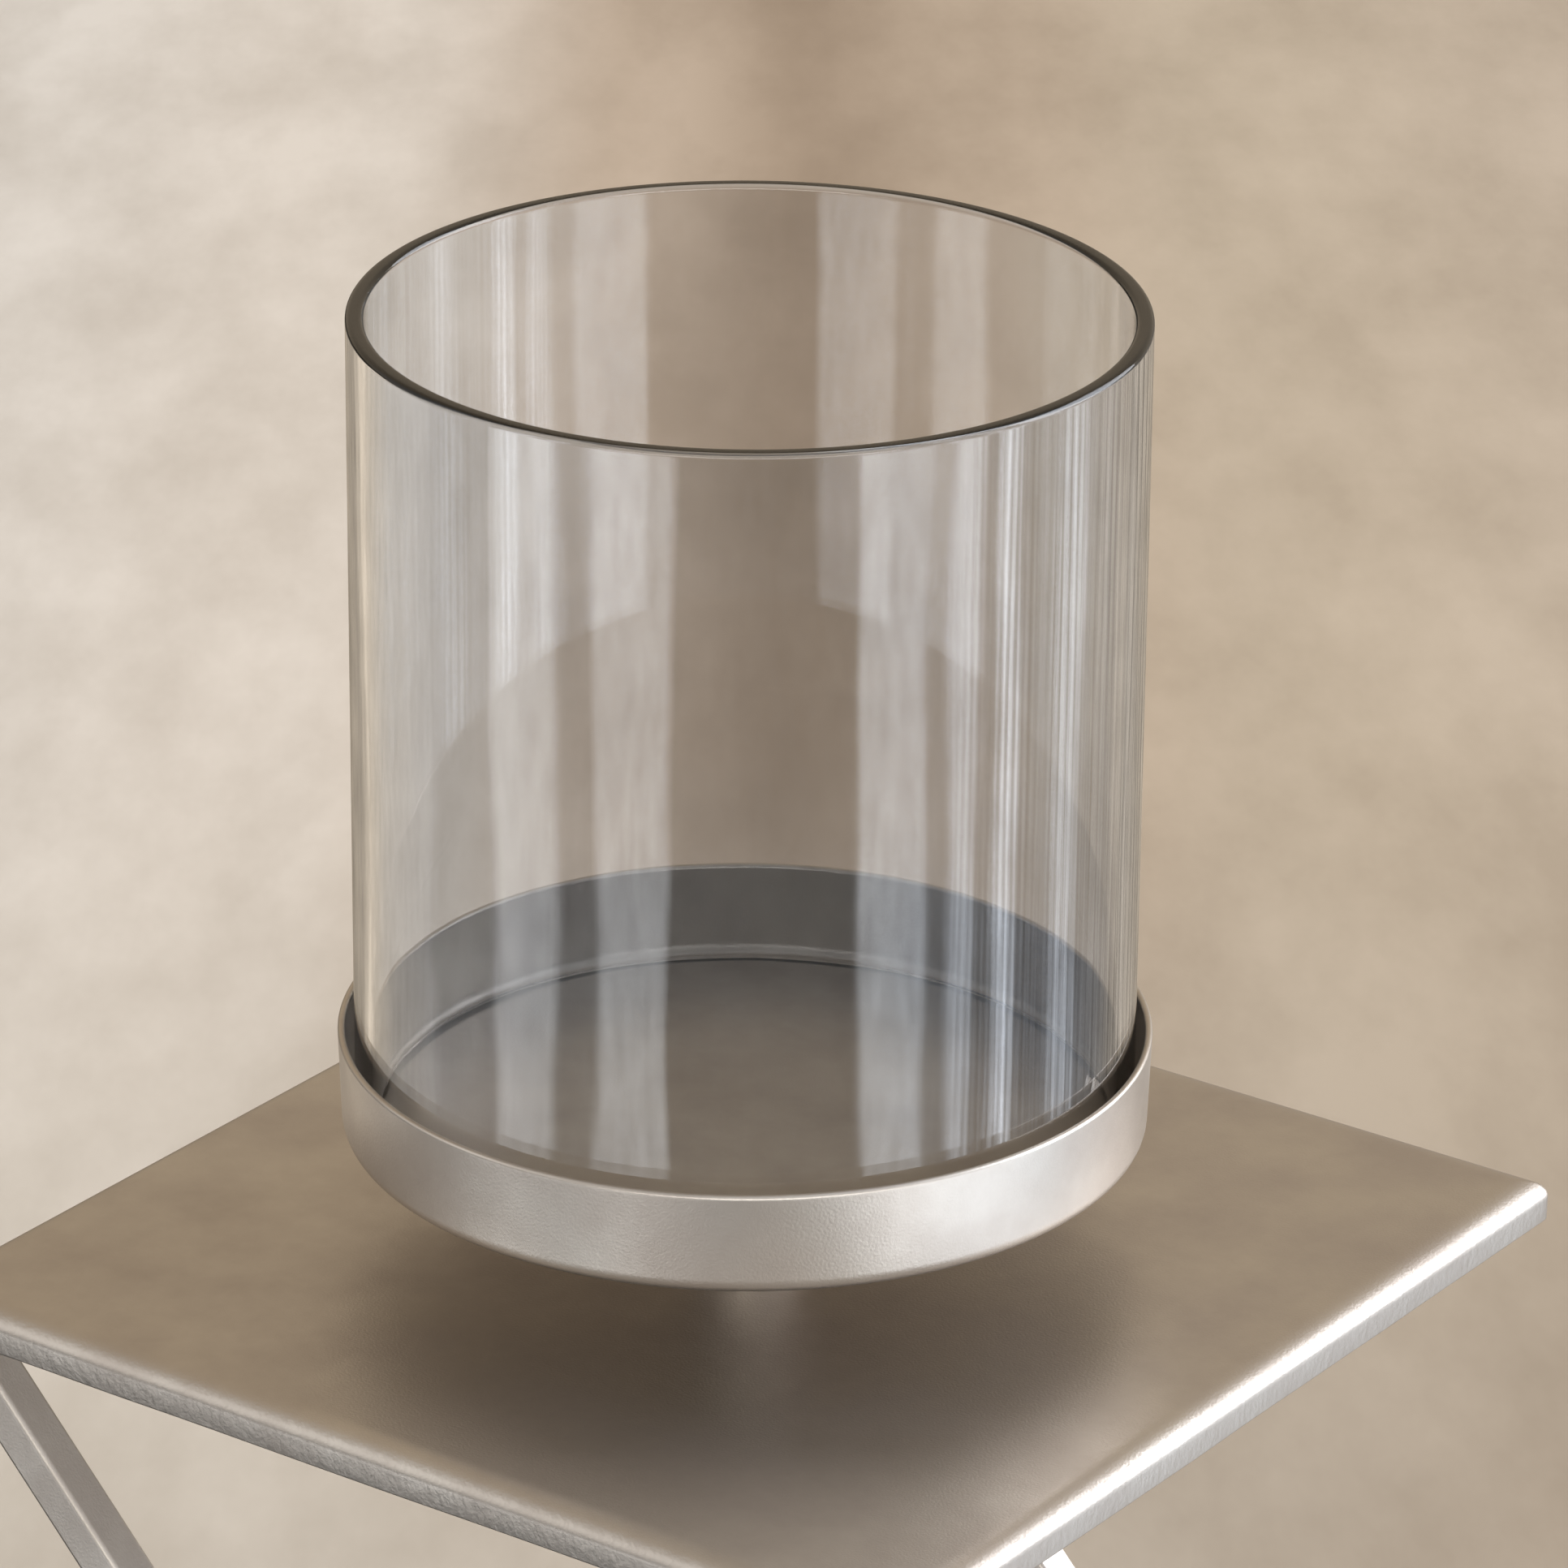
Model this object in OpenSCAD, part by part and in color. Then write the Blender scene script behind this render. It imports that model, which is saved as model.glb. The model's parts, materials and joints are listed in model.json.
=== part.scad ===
// Candle lantern: a glass cylinder in a shallow metal dish, raised on a short stem
// above a square top, carried by a frame of square tube with two slanting legs.
// Millimetres. Origin on the floor below the middle of the top, +Z up.
// +X is the front, where the legs meet the floor frame; -Y is the left side.

/* [Glass] */
// Outer diameter of the glass cylinder
glass_d = 200; // [160:1:240]
// Length of the glass cylinder
glass_h = 218; // [120:1:300]
// Wall of the glass cylinder
glass_wall = 4.6; // [3:0.1:7]
// Radius that fire polishing leaves on the glass edges
glass_edge_r = 1.4; // [0.5:0.1:1.5]
// Gap left between the glass and the dish floor
glass_seat_gap = 0.3; // [0.1:0.1:1]

/* [Dish] */
// Play between the glass and the dish wall, measured at the rim
dish_play = 2.3; // [1.5:0.1:5]
// Height of the dish over all
dish_h = 27.7; // [18:0.1:50]
// Sheet that the dish is pressed from
dish_sheet = 1.9; // [1.2:0.1:3]
// Lean of the dish wall, outwards to the rim
dish_draft = 2; // [0:0.5:3]
// Inner radius of the corner between the dish wall and floor
dish_corner_r = 2.4; // [2:0.1:2.6]

/* [Stem] */
// Diameter of the stem between the top and the dish
stem_d = 26; // [20:1:60]
// Length of the stem
stem_h = 32.4; // [20:0.1:60]
// Depth of the threaded hole in the stem
stem_hole_depth = 16; // [12:0.5:18]
// Thread size of the screw that holds the stem
screw_d = 6; // [5:0.5:8]
// Length of screw thread that enters the stem
screw_reach = 11; // [8:0.5:11]

/* [Top] */
// Side of the square top
top_side = 305; // [270:1:400]
// Sheet that the top is folded from
top_sheet = 1.2; // [1:0.1:2]
// Outer radius of the folded edges and corners of the top
top_edge_r = 4; // [2.5:0.1:6]
// Width of the strap below the middle of the top
strap_w = 40; // [30:1:80]
// Thickness of the strap below the middle of the top
strap_t = 3; // [2:0.5:5]

/* [Frame] */
// Side of the square tube below the top
rail_tube = 10; // [8:0.5:14]
// Side of the square tube of the legs and the floor frame
leg_tube = 12; // [10:0.5:20]
// Wall of all the square tube
tube_wall = 1.2; // [1:0.1:2]
// Outer corner radius of all the square tube
tube_corner_r = 1.5; // [1.3:0.1:2.5]
// Slope of the legs from the floor
leg_angle = 47; // [40:1:65]
// How far the legs and the floor frame stand in from the edge of the top
leg_inset = 1.6; // [0:0.1:20]
// Gap from the front and back edges of the top to the ends of the legs
leg_end_gap = 2.4; // [2:0.1:25]

/* [Feet] */
// Diameter of the foot pads
foot_d = 10; // [6:0.5:10]
// Height of the foot pads
foot_h = 2.4; // [1:0.1:6]
// Chamfer round the lower edge of the foot pads
foot_chamfer = 0.6; // [0.2:0.1:0.8]

/* [Hidden] */
$fn = 96;
fine = 32;
run = 0.02;          // running clearance between a fastener and its hole
screw_hole_gap = 0.4;
washer_od = 2 * screw_d;
washer_t = 1.6;
lock_od = 1.9 * screw_d;
lock_t = 1.5;
lock_split = 1.2;
head_af = screw_d * 10 / 6;
head_h = screw_d * 4 / 6;
reach_past = 1;      // how far cutting tools run past a face

// Heights, from the floor up
base_z = foot_h;
leg_run = top_side - 2 * leg_end_gap - leg_tube / sin(leg_angle);
leg_rise = leg_run * tan(leg_angle);
leg_z = base_z + leg_tube;
rail_z = leg_z + leg_rise;
top_z = rail_z + rail_tube + top_sheet;
lip_h = rail_tube + top_sheet;
strap_z = top_z - top_sheet - strap_t;
dish_z = top_z + stem_h;
glass_z = dish_z + dish_sheet + glass_seat_gap;

// Half widths
top_half = top_side / 2;
rail_half = top_half - top_sheet;
leg_half = top_half - leg_inset;

// Dish profile
rim_in_r = glass_d / 2 + dish_play;
rim_mid_z = dish_h - dish_sheet / 2;
lean = tan(dish_draft);
foot_mid = leg_half - leg_tube / 2;

// ---- shapes that repeat ----

// Square with round corners, centred
module round_square(side, r) {
    square([side - 2 * r, side], center = true);
    square([side, side - 2 * r], center = true);
    for (x = [-1, 1], y = [-1, 1])
        translate([x * (side / 2 - r), y * (side / 2 - r)]) circle(r, $fn = fine);
}

// Section of a square tube, centred
module tube_section(side) {
    difference() {
        round_square(side, tube_corner_r);
        round_square(side - 2 * tube_wall, tube_corner_r - tube_wall + 0.2);
    }
}

// Square tube along X, centred, as long as asked
module tube_along_x(side, length) {
    rotate([0, 90, 0]) linear_extrude(length, center = true) tube_section(side);
}

// Side of a mitred square frame: the tube lies along X at -Y, with its outer face at -half
module mitred_rail(side, half) {
    difference() {
        translate([0, -half + side / 2, 0]) tube_along_x(side, 2 * half + 2 * reach_past);
        for (s = [-1, 1])
            translate([s * half, -half, 0]) rotate([0, 0, s * 45]) translate([s * 2 * side, 0, 0])
                cube([4 * side, 8 * side, 2 * side], center = true);
    }
}

// Solid box with all its upper edges and upright corners rounded, open to nothing below
module pillow(side, h, r) {
    in = side / 2 - r;
    translate([0, 0, (h - r) / 2]) {
        cube([side - 2 * r, side, h - r], center = true);
        cube([side, side - 2 * r, h - r], center = true);
    }
    translate([0, 0, h / 2]) cube([side - 2 * r, side - 2 * r, h], center = true);
    for (a = [0, 90, 180, 270]) rotate([0, 0, a]) {
        translate([in, in, 0]) cylinder(h - r, r, r, $fn = fine);
        translate([in, in, h - r]) sphere(r, $fn = fine);
        translate([in, 0, h - r]) rotate([90, 0, 0]) cylinder(side - 2 * r, r, r, center = true, $fn = fine);
    }
}

// Filled half section of the dish; grow moves its wall, floor and corner outwards
module dish_half_section(grow) {
    r = dish_corner_r + grow;
    wall_r = rim_in_r + grow / cos(dish_draft);     // wall at the height of the rim
    low_z = dish_sheet - grow;
    mid_z = low_z + r;
    mid_r = wall_r - lean * (rim_mid_z - mid_z) - r / cos(dish_draft);
    touch = [mid_r + r * cos(dish_draft), mid_z - r * sin(dish_draft)];
    polygon([[0, low_z], [mid_r, low_z], touch, [wall_r, rim_mid_z], [0, rim_mid_z]]);
    translate([mid_r, mid_z]) circle(r, $fn = 64);
}

// ---- glass ----

module glass_cylinder() {
    in_r = glass_d / 2 - glass_wall;
    e = glass_edge_r;
    color([0.72, 0.70, 0.68, 0.4])
        translate([0, 0, glass_z]) rotate_extrude($fn = 160) translate([in_r, 0]) {
            translate([e, 0]) square([glass_wall - 2 * e, glass_h]);
            translate([0, e]) square([glass_wall, glass_h - 2 * e]);
            for (x = [e, glass_wall - e], z = [e, glass_h - e])
                translate([x, z]) circle(e, $fn = fine);
        }
}

// ---- dish and stem ----

module dish() {
    color("#b8b0a8") translate([0, 0, dish_z]) rotate_extrude($fn = 160) {
        difference() {
            dish_half_section(dish_sheet);
            dish_half_section(0);
            translate([-rim_in_r, 0]) square([rim_in_r, dish_h]);
        }
        // the rim is rounded over the thickness of the sheet
        translate([rim_in_r + dish_sheet / 2, rim_mid_z]) circle(dish_sheet / 2, $fn = fine);
    }
}

module stem() {
    color("#b0a89f") translate([0, 0, top_z]) difference() {
        cylinder(stem_h, stem_d / 2, stem_d / 2);
        translate([0, 0, -reach_past])
            cylinder(stem_hole_depth + reach_past, screw_d / 2 + run, screw_d / 2 + run, $fn = 48);
    }
}

module stem_screw() {
    head_z = strap_z - washer_t - lock_t;
    color("#9c9a96") union() {
        translate([0, 0, head_z - head_h / 2])
            cylinder(top_z + screw_reach - head_z + head_h / 2, screw_d / 2, screw_d / 2, $fn = 48);
        intersection() {
            translate([0, 0, head_z - head_h]) rotate([0, 0, 30])
                cylinder(head_h, head_af / sqrt(3), head_af / sqrt(3), $fn = 6);
            // turned face of the hexagon head
            translate([0, 0, head_z - head_h])
                cylinder(head_h, head_af / 2, head_af / 2 + head_h * 1.7, $fn = 64);
        }
    }
}

module ring(od, id, h) {
    difference() {
        cylinder(h, od / 2, od / 2, $fn = 64);
        translate([0, 0, -reach_past]) cylinder(h + 2 * reach_past, id / 2, id / 2, $fn = 64);
    }
}

module lock_washer() {
    color("#8f8d8a") translate([0, 0, strap_z - washer_t - lock_t]) difference() {
        ring(lock_od, screw_d + screw_hole_gap, lock_t);
        rotate([20, 0, 0]) translate([lock_od / 2, 0, 0])
            cube([lock_od, lock_split, 6 * lock_t], center = true);
    }
}

module plain_washer() {
    color("#9c9a96") translate([0, 0, strap_z - washer_t])
        ring(washer_od, screw_d + screw_hole_gap, washer_t);
}

// ---- top ----

module top_plate() {
    in_r = top_edge_r - top_sheet;
    color("#a79c8e") difference() {
        translate([0, 0, top_z - lip_h]) pillow(top_side, lip_h, top_edge_r);
        translate([0, 0, top_z - lip_h - reach_past])
            pillow(top_side - 2 * top_sheet, lip_h - top_sheet + reach_past, in_r);
        translate([0, 0, top_z - 2 * top_sheet])
            cylinder(4 * top_sheet, r = (screw_d + screw_hole_gap) / 2, $fn = 48);
    }
}

module top_strap() {
    length = 2 * (rail_half - rail_tube);
    color("#8d877f") difference() {
        translate([-strap_w / 2, -length / 2, strap_z]) cube([strap_w, length, strap_t]);
        translate([0, 0, strap_z - reach_past])
            cylinder(strap_t + 2 * reach_past, r = (screw_d + screw_hole_gap) / 2, $fn = 48);
    }
}

// Rail below the top, turned to its side of the square: the upper outer edge
// is eased where it would foul the fold of the sheet
module top_rail(turn) {
    eased_r = top_edge_r - top_sheet + 0.2;
    color("#a59d93") rotate([0, 0, turn]) intersection() {
        translate([0, 0, rail_z + rail_tube / 2]) mitred_rail(rail_tube, rail_half);
        translate([0, 0, rail_z]) pillow(2 * rail_half, rail_tube, eased_r);
    }
}

// ---- legs and floor frame ----

// Leg on the -Y side: from the back of the top down to the front of the floor frame,
// with both ends cut level
module leg() {
    length = leg_rise / sin(leg_angle) + 4 * leg_tube;
    color("#a39a8f") translate([0, -leg_half + leg_tube / 2, leg_z + leg_rise / 2]) intersection() {
        rotate([0, leg_angle, 0]) tube_along_x(leg_tube, length);
        cube([2 * top_side, 2 * leg_tube, leg_rise], center = true);
    }
}

module base_rail(turn) {
    color("#a59d93") rotate([0, 0, turn])
        translate([0, 0, base_z + leg_tube / 2]) mitred_rail(leg_tube, leg_half);
}

module foot_pad(x, y) {
    color("#3a3836") translate([x * foot_mid, y * foot_mid, 0]) {
        cylinder(foot_chamfer, foot_d / 2 - foot_chamfer, foot_d / 2, $fn = 48);
        translate([0, 0, foot_chamfer]) cylinder(foot_h - foot_chamfer, foot_d / 2, foot_d / 2, $fn = 48);
    }
}

glass_cylinder();
dish();
stem();
stem_screw();
lock_washer();
plain_washer();
top_plate();
top_strap();
top_rail(0);  // top_rail_left
top_rail(90);  // top_rail_front
top_rail(180);  // top_rail_right
top_rail(270);  // top_rail_back
leg();  // leg_left
mirror([0, 1, 0]) leg();  // leg_right
base_rail(0);  // base_rail_left
base_rail(90);  // base_rail_front
base_rail(180);  // base_rail_right
base_rail(270);  // base_rail_back
foot_pad(1, -1);  // foot_pad_front_left
foot_pad(1, 1);  // foot_pad_front_right
foot_pad(-1, -1);  // foot_pad_back_left
foot_pad(-1, 1);  // foot_pad_back_right
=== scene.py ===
# %% [markdown]
# # Candle lantern
# A glass cylinder stands in a shallow nickel-plated dish. A short stem holds the dish above a square
# top, and a frame of square tube with two slanting legs carries the top. The construction comes in as
# a fixed frame of solids; these cells give every piece its surface, its light and its camera.

# %% Load the frame
import bpy
import bmesh
import json
import math
from mathutils import Matrix, Vector


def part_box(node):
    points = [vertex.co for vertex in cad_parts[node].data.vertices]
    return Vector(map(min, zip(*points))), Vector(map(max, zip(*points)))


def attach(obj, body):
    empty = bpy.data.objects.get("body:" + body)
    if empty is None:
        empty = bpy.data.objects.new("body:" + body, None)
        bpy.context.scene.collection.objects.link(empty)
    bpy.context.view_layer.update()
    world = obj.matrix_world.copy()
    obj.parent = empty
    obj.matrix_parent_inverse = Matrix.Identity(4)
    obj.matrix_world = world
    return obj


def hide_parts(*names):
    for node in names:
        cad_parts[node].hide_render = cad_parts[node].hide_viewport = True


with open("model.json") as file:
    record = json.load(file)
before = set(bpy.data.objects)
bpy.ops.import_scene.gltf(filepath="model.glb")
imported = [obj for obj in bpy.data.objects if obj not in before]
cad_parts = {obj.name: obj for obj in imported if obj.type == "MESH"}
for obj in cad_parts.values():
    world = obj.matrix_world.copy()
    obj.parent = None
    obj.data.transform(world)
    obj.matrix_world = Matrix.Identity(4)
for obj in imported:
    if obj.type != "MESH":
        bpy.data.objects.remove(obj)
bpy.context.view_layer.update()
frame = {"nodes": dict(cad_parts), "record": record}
scene = bpy.context.scene
scene.view_settings.view_transform = "Standard"
nodes = frame["nodes"]
print("pieces in the frame:", len(nodes))

# %% [markdown]
# ## Camera
# The lantern is seen from a little above the rim. A real camera would stand well back with a long
# lens, which keeps the cylinder's sides nearly parallel, so this one has its distance, lens and tilt
# set as numbers. It aims at a point on the glass, a bit to the right of its axis.

# %% Camera
MM = 0.001
GLASS_LOW, GLASS_HIGH = (Vector(corner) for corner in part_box("glass_cylinder"))
RIM_Z = GLASS_HIGH.z
CAMERA_AZIMUTH = math.radians(35.56)
CAMERA_ELEVATION = math.radians(23.058)
CAMERA_ROLL = math.radians(0.491)
CAMERA_DISTANCE = 2.1191
CAMERA_LENS = 192.4      # mm, on a sensor 36 mm wide
SENSOR_WIDTH = 36
FURTHEST_SEEN = 50       # metres
AIM_RIGHT = 9.42 * MM
AIM_BELOW_RIM = 126.95 * MM


def aim_camera():
    """Adds the camera: azimuth 0 looks along +Y, and 90 degrees along -X."""
    ahead = Vector((-math.sin(CAMERA_AZIMUTH), math.cos(CAMERA_AZIMUTH), 0))
    side = Vector((math.cos(CAMERA_AZIMUTH), math.sin(CAMERA_AZIMUTH), 0))
    target = Vector((0, 0, RIM_Z - AIM_BELOW_RIM)) + side * AIM_RIGHT
    forward = ahead * math.cos(CAMERA_ELEVATION) - Vector((0, 0, math.sin(CAMERA_ELEVATION)))
    upward = side.cross(forward)
    right = side * math.cos(CAMERA_ROLL) + upward * math.sin(CAMERA_ROLL)
    upward = upward * math.cos(CAMERA_ROLL) - side * math.sin(CAMERA_ROLL)
    data = bpy.data.cameras.new("camera")
    data.sensor_width = SENSOR_WIDTH
    data.lens = CAMERA_LENS
    data.clip_end = FURTHEST_SEEN
    camera = bpy.data.objects.new("camera", data)
    scene.collection.objects.link(camera)
    turn = Matrix((right, upward, -forward)).transposed().to_4x4()
    camera.matrix_world = Matrix.Translation(target - forward * CAMERA_DISTANCE) @ turn
    scene.camera = camera
    return camera


camera = aim_camera()
print("camera at, m:", [round(v, 3) for v in camera.matrix_world.translation])

# %% [markdown]
# ## Small helpers
# Colours are written as sRGB hex values, the way a paint chip is read, and one function turns them to
# linear light. One function adds a shader node with its settings and its inputs, so that each
# material reads as a short list of what feeds what.

# %% Colour and node helpers
def linear(hex_colour):
    """sRGB hex such as #c8beb4 to a linear RGBA tuple."""
    channels = [int(hex_colour[i:i + 2], 16) / 255 for i in (1, 3, 5)]
    return tuple(c / 12.92 if c < 0.04045 else ((c + 0.055) / 1.055) ** 2.4 for c in channels) + (1.0,)


def add(tree, kind, inputs=None, **settings):
    """Adds a node, sets its settings, and fills each input with a value or a link."""
    node = tree.nodes.new(kind)
    for name, value in settings.items():
        setattr(node, name, value)
    for name, value in (inputs or {}).items():
        if isinstance(value, bpy.types.NodeSocket):
            tree.links.new(value, node.inputs[name])
        else:
            node.inputs[name].default_value = value
    return node


def new_material(name):
    """An empty node material and its tree and output node."""
    material = bpy.data.materials.new(name)
    material.use_nodes = True
    tree = material.node_tree
    tree.nodes.clear()
    return material, tree, tree.nodes.new("ShaderNodeOutputMaterial")


def paint(piece, material):
    """Gives a piece one material all over."""
    piece.data.materials.clear()
    piece.data.materials.append(material)


def new_piece(name, mesh):
    """An object at the origin that holds a finished mesh."""
    piece = bpy.data.objects.new(name, mesh)
    scene.collection.objects.link(piece)
    return piece


print("helpers ready; mid grey in linear light:", round(linear("#808080")[0], 3))

# %% [markdown]
# ## Satin nickel
# The dish, stem, top and tubes are mild steel, blasted with fine grit and then nickel plated. Nickel
# is a slightly warm grey metal. The blasting leaves a fine, even grain, so highlights spread into a
# soft glow and nothing mirrors sharply. Real grit of about 0.2 mm is too fine to show at this
# distance, so the grain is drawn near 0.7 mm. Slow clouds in tint and gloss come from hand finishing.
# Sheet that was folded by hand also has shallow dents, about 2 mm apart, on its turned-down lip. One
# function makes both finishes, so that they stay the same metal.

# %% Satin nickel
NICKEL, NICKEL_DARK = "#c8c1b8", "#b9b0a7"
NICKEL_ROUGHNESS = 0.4
CLOUDS_PER_METRE = 30.0
GRAIN_PER_METRE = 1400.0
DENTS_PER_METRE = 560.0
GRAIN_DEPTH = DENT_DEPTH = 0.2 * MM
GRAIN_STRENGTH, DENT_STRENGTH = 0.3, 0.6
DENTS_FADE_IN = 1.5 * MM


def shallow_dents(tree, place, grain, below):
    """Adds dents to the grain under a height, and lets them fade in on the way down."""
    tall = add(tree, "ShaderNodeMapping", {"Vector": place, "Scale": (1.0, 1.0, 0.6)})
    soft = add(tree, "ShaderNodeTexNoise",
               {"Vector": tall.outputs["Vector"], "Scale": DENTS_PER_METRE, "Detail": 1.0})
    height = add(tree, "ShaderNodeSeparateXYZ", {"Vector": place})
    fade = add(tree, "ShaderNodeMapRange", {
        "Value": height.outputs["Z"], "From Min": below, "From Max": below - DENTS_FADE_IN,
        "To Max": DENT_STRENGTH})
    return add(tree, "ShaderNodeBump", {
        "Height": soft.outputs["Fac"], "Strength": fade.outputs["Result"], "Distance": DENT_DEPTH,
        "Normal": grain.outputs["Normal"]})


def satin_nickel(name, dents_below=None):
    """Blasted and plated steel, with dents under a height if one is given."""
    material, tree, output = new_material(name)
    place = add(tree, "ShaderNodeTexCoord").outputs["Object"]
    clouds = add(tree, "ShaderNodeTexNoise",
                 {"Vector": place, "Scale": CLOUDS_PER_METRE, "Detail": 5.0, "Roughness": 0.6})
    patches = add(tree, "ShaderNodeMapRange",
                  {"Value": clouds.outputs["Fac"], "From Min": 0.32, "From Max": 0.68})
    tint = add(tree, "ShaderNodeMix", {
        "Factor": patches.outputs["Result"], "A": linear(NICKEL), "B": linear(NICKEL_DARK)},
        data_type="RGBA")
    gloss = add(tree, "ShaderNodeMapRange", {
        "Value": patches.outputs["Result"], "To Min": NICKEL_ROUGHNESS - 0.03,
        "To Max": NICKEL_ROUGHNESS + 0.04})
    grain = add(tree, "ShaderNodeTexNoise", {"Vector": place, "Scale": GRAIN_PER_METRE, "Detail": 2.0})
    bump = add(tree, "ShaderNodeBump", {
        "Height": grain.outputs["Fac"], "Strength": GRAIN_STRENGTH, "Distance": GRAIN_DEPTH})
    if dents_below is not None:
        bump = shallow_dents(tree, place, bump, dents_below)
    metal = add(tree, "ShaderNodeBsdfPrincipled", {
        "Base Color": tint.outputs["Result"], "Metallic": 1.0,
        "Roughness": gloss.outputs["Result"], "Normal": bump.outputs["Normal"]})
    tree.links.new(metal.outputs["BSDF"], output.inputs["Surface"])
    return material


nickel = satin_nickel("satin_nickel")
TOP_LOW, TOP_HIGH = (Vector(corner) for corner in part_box("top_plate"))
nickel_folded = satin_nickel("satin_nickel_folded_sheet", dents_below=TOP_HIGH.z - 0.3 * MM)
print("metals:", nickel.name, nickel_folded.name)

# %% [markdown]
# ## Zinc-plated fasteners and rubber pads
# The screw and washers are bright zinc-plated steel, a cooler and cleaner grey than the nickel. The
# foot pads are moulded rubber: nearly black, matt and a little dusty. Both are small and mostly out
# of sight, so a plain shader with a fine noise in its colour is enough.

# %% Zinc plate and rubber
def zinc_plate():
    """Bright plate with a faint spangle."""
    material, tree, output = new_material("bright_zinc_plate")
    place = add(tree, "ShaderNodeTexCoord").outputs["Object"]
    spangle = add(tree, "ShaderNodeTexNoise", {"Vector": place, "Scale": 500.0, "Detail": 2.0})
    tint = add(tree, "ShaderNodeMix", {
        "Factor": spangle.outputs["Fac"], "A": linear("#c4c6c8"), "B": linear("#a9abae")},
        data_type="RGBA")
    metal = add(tree, "ShaderNodeBsdfPrincipled", {
        "Base Color": tint.outputs["Result"], "Metallic": 1.0, "Roughness": 0.28})
    tree.links.new(metal.outputs["BSDF"], output.inputs["Surface"])
    return material


def moulded_rubber():
    """Matt black rubber with a little dust."""
    material, tree, output = new_material("moulded_black_rubber")
    place = add(tree, "ShaderNodeTexCoord").outputs["Object"]
    dust = add(tree, "ShaderNodeTexNoise", {"Vector": place, "Scale": 300.0, "Detail": 4.0})
    tint = add(tree, "ShaderNodeMix", {
        "Factor": dust.outputs["Fac"], "A": linear("#2a2827"), "B": linear("#3b3937")},
        data_type="RGBA")
    skin = add(tree, "ShaderNodeBsdfPrincipled",
               {"Base Color": tint.outputs["Result"], "Roughness": 0.7})
    tree.links.new(skin.outputs["BSDF"], output.inputs["Surface"])
    return material


zinc = zinc_plate()
rubber = moulded_rubber()
FINISH_OF_SLOT = {"satin_nickel": nickel, "zinc_steel": zinc, "black_rubber": rubber}
SLOT_OF_NODE = {row["node"]: row["material_slot"] for row in frame["record"]["subparts"]}
for node_name, piece in nodes.items():
    if SLOT_OF_NODE[node_name] in FINISH_OF_SLOT:
        paint(piece, FINISH_OF_SLOT[SLOT_OF_NODE[node_name]])
print("finished so far:", sum(SLOT_OF_NODE[n] in FINISH_OF_SLOT for n in nodes), "pieces")

# %% [markdown]
# ## Smoke-tinted glass
# The cylinder is drawn glass with a thin smoke lustre, cut to length and fire polished. The lustre
# takes the same share of light wherever a ray goes through the wall, so the middle and the sides
# look equally grey. The glass itself takes a little more on the way, which only shows at the cut rim:
# light there has run along inside the wall, so the rim reads as a dark line.
# Drawn glass is never quite even: faint waves along its length bend the edges of reflections.

# %% Smoke-tinted glass
GLASS_IOR = 1.5
GLASS_LUSTRE = "#e6e7e8"       # kept at each surface that light passes
GLASS_BODY = "#a08a78"         # kept on the way through the wall
GLASS_DENSITY = 7.0


def smoke_glass():
    """Clear glass with a thin lustre, a faint body colour and slow waves."""
    material, tree, output = new_material("smoke_tinted_glass")
    place = add(tree, "ShaderNodeTexCoord").outputs["Object"]
    stretched = add(tree, "ShaderNodeMapping", {"Vector": place, "Scale": (1.0, 1.0, 0.2)})
    waves = add(tree, "ShaderNodeTexNoise",
                {"Vector": stretched.outputs["Vector"], "Scale": 35.0, "Detail": 1.0})
    bump = add(tree, "ShaderNodeBump",
               {"Height": waves.outputs["Fac"], "Strength": 0.1, "Distance": 1.0 * MM})
    glass = add(tree, "ShaderNodeBsdfPrincipled", {
        "Base Color": linear(GLASS_LUSTRE), "Transmission Weight": 1.0, "Roughness": 0.0,
        "IOR": GLASS_IOR, "Normal": bump.outputs["Normal"]})
    depth = add(tree, "ShaderNodeVolumeAbsorption",
                {"Color": linear(GLASS_BODY), "Density": GLASS_DENSITY})
    tree.links.new(glass.outputs["BSDF"], output.inputs["Surface"])
    tree.links.new(depth.outputs["Volume"], output.inputs["Volume"])
    return material


glass_finish = smoke_glass()
print("glass:", glass_finish.name, "IOR", GLASS_IOR)

# %% [markdown]
# ## Pieces grown by Geometry Nodes
# A Geometry Nodes tree can hold a rule, such as a section swept round a circle, with its real sizes
# as named inputs. Two helpers are enough: one starts a tree with its inputs, and the other runs a tree
# on an empty mesh and keeps the result as a plain mesh, with no modifier left.

# %% Geometry Nodes helpers
def new_geometry_tree(name, inputs):
    """A Geometry Nodes group with named inputs and a geometry output."""
    group = bpy.data.node_groups.new(name, "GeometryNodeTree")
    for label, (kind, value) in inputs.items():
        socket = group.interface.new_socket(label, in_out="INPUT", socket_type=kind)
        if value is not None:
            socket.default_value = value
    group.interface.new_socket("Geometry", in_out="OUTPUT", socket_type="NodeSocketGeometry")
    return group, group.nodes.new("NodeGroupInput").outputs, group.nodes.new("NodeGroupOutput")


def grow_piece(name, group, values):
    """Runs a geometry tree on an empty mesh and returns the result as a plain piece."""
    carrier = new_piece("carrier", bpy.data.meshes.new("carrier"))
    modifier = carrier.modifiers.new("grow", "NODES")
    modifier.node_group = group
    for item in group.interface.items_tree:
        if item.in_out == "INPUT" and item.name in values:
            modifier[item.identifier] = values[item.name]
    ready = carrier.evaluated_get(bpy.context.evaluated_depsgraph_get())
    mesh = bpy.data.meshes.new_from_object(ready)
    bpy.data.objects.remove(carrier)
    piece = new_piece(name, mesh)
    mesh.name = name
    return piece


print("geometry helpers ready")

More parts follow.
